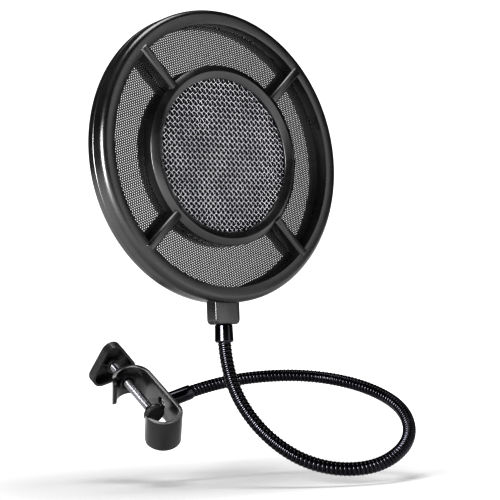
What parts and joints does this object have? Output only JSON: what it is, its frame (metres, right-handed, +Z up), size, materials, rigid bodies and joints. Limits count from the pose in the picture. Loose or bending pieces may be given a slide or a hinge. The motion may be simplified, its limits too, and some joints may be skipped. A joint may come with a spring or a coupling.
{
  "type": "microphone pop filter",
  "caption": "Round black mesh pop filter with a hub ring and spokes, on a bendable gooseneck arm with a screw clamp for a stand tube.",
  "frame": {"origin": "centre of the clamp's hook, on the axis of the stand tube that it grips", "axes": "+Z up along the standing screen's height, -Y out of the screen's front face, +X to the right seen from the front"},
  "size_m": [0.1883, 0.1653, 0.2536],
  "materials": {
    "shell": "satin",
    "mesh_wire": "dark plated steel mesh",
    "foam": "open-cell",
    "black_nickel": "polished dark plating",
    "neck_wire": "polished dark plating",
    "coated_steel": "satin black",
    "bright_steel": "zinc plated",
    "dark_steel": "black oxide",
    "knob_plastic": "moulded",
    "pad_rubber": "matt"
  },
  "bodies": {
    "clamp": {"clamp_bracket": "coated_steel", "threaded_insert": "bright_steel"},
    "pad": {"pressure_pad": "knob_plastic", "pad_cap": "pad_rubber"},
    "thumbscrew": {"clamp_screw": "dark_steel", "knob": "knob_plastic"},
    "neck_base": {"swivel_washer": "bright_steel", "neck_screw": "bright_steel", "clamp_ferrule": "black_nickel", "neck_link_01": "neck_wire"},
    "neck_02": {"neck_link_02": "neck_wire"},
    "neck_03": {"neck_link_03": "neck_wire"},
    "neck_04": {"neck_link_04": "neck_wire"},
    "neck_05": {"neck_link_05": "neck_wire"},
    "neck_06": {"neck_link_06": "neck_wire"},
    "neck_07": {"neck_link_07": "neck_wire"},
    "neck_08": {"neck_link_08": "neck_wire"},
    "neck_09": {"neck_link_09": "neck_wire"},
    "head": {"neck_link_10": "neck_wire", "screen_ferrule": "black_nickel", "front_frame": "shell", "rear_frame": "shell", "fine_mesh": "mesh_wire", "front_coarse_mesh": "mesh_wire", "hub_foam": "foam", "rear_coarse_mesh": "mesh_wire", "block_screws": "dark_steel"}
  },
  "joints": [
    {"name": "clamp_slide", "type": "slide", "parent": "clamp", "child": "pad", "axis": [-0.0412, 0.8064, 0.5899], "range_m": [-0.01, 0.024]},
    {"name": "thumbscrew_turn", "type": "hinge", "parent": "pad", "child": "thumbscrew", "pos_m": [0, 0, 0], "axis": [-0.0412, 0.8064, 0.5899], "range_deg": [-4500, 10800]},
    {"name": "neck_swivel", "type": "hinge", "parent": "clamp", "child": "neck_base", "pos_m": [-0.00066, 0.0129, 0.00944], "axis": [0.9446, -0.1609, 0.286], "range_deg": [-170, 170]},
    {"name": "neck_bend_1", "type": "hinge", "parent": "neck_base", "child": "neck_02", "pos_m": [0.05373, 0.00379, 0.02284], "axis": [0.1955, 0.6246, -0.756], "range_deg": [-28, 28]},
    {"name": "neck_bend_2", "type": "hinge", "parent": "neck_02", "child": "neck_03", "pos_m": [0.086, -0.008, 0.0245], "axis": [-0.489, -0.7951, -0.3587], "range_deg": [-28, 28]},
    {"name": "neck_bend_3", "type": "hinge", "parent": "neck_03", "child": "neck_04", "pos_m": [0.108, -0.0325, 0.02], "axis": [0.1847, 0.323, -0.9282], "range_deg": [-28, 28]},
    {"name": "neck_bend_4", "type": "hinge", "parent": "neck_04", "child": "neck_05", "pos_m": [0.113, -0.0645, 0.0095], "axis": [-0.9405, 0.217, -0.2614], "range_deg": [-28, 28]},
    {"name": "neck_bend_5", "type": "hinge", "parent": "neck_05", "child": "neck_06", "pos_m": [0.101, -0.092, -0.0055], "axis": [0.3591, 0.344, -0.8676], "range_deg": [-28, 28]},
    {"name": "neck_bend_6", "type": "hinge", "parent": "neck_06", "child": "neck_07", "pos_m": [0.0755, -0.104, -0.02], "axis": [-0.221, 0.878, 0.4245], "range_deg": [-28, 28]},
    {"name": "neck_bend_7", "type": "hinge", "parent": "neck_07", "child": "neck_08", "pos_m": [0.046, -0.096, -0.0245], "axis": [0.3394, 0.6424, -0.6871], "range_deg": [-28, 28]},
    {"name": "neck_bend_8", "type": "hinge", "parent": "neck_08", "child": "neck_09", "pos_m": [0.024, -0.075, -0.013], "axis": [0.6834, -0.1413, 0.7162], "range_deg": [-28, 28]},
    {"name": "neck_bend_9", "type": "hinge", "parent": "neck_09", "child": "head", "pos_m": [0.0125, -0.0549, 0.01197], "axis": [0.852, 0.5173, -0.0807], "range_deg": [-28, 28]}
  ],
  "couplings": [
    {"joint": "clamp_slide", "follows": "thumbscrew_turn", "m_per_rad": 0.00012732}
  ]
}
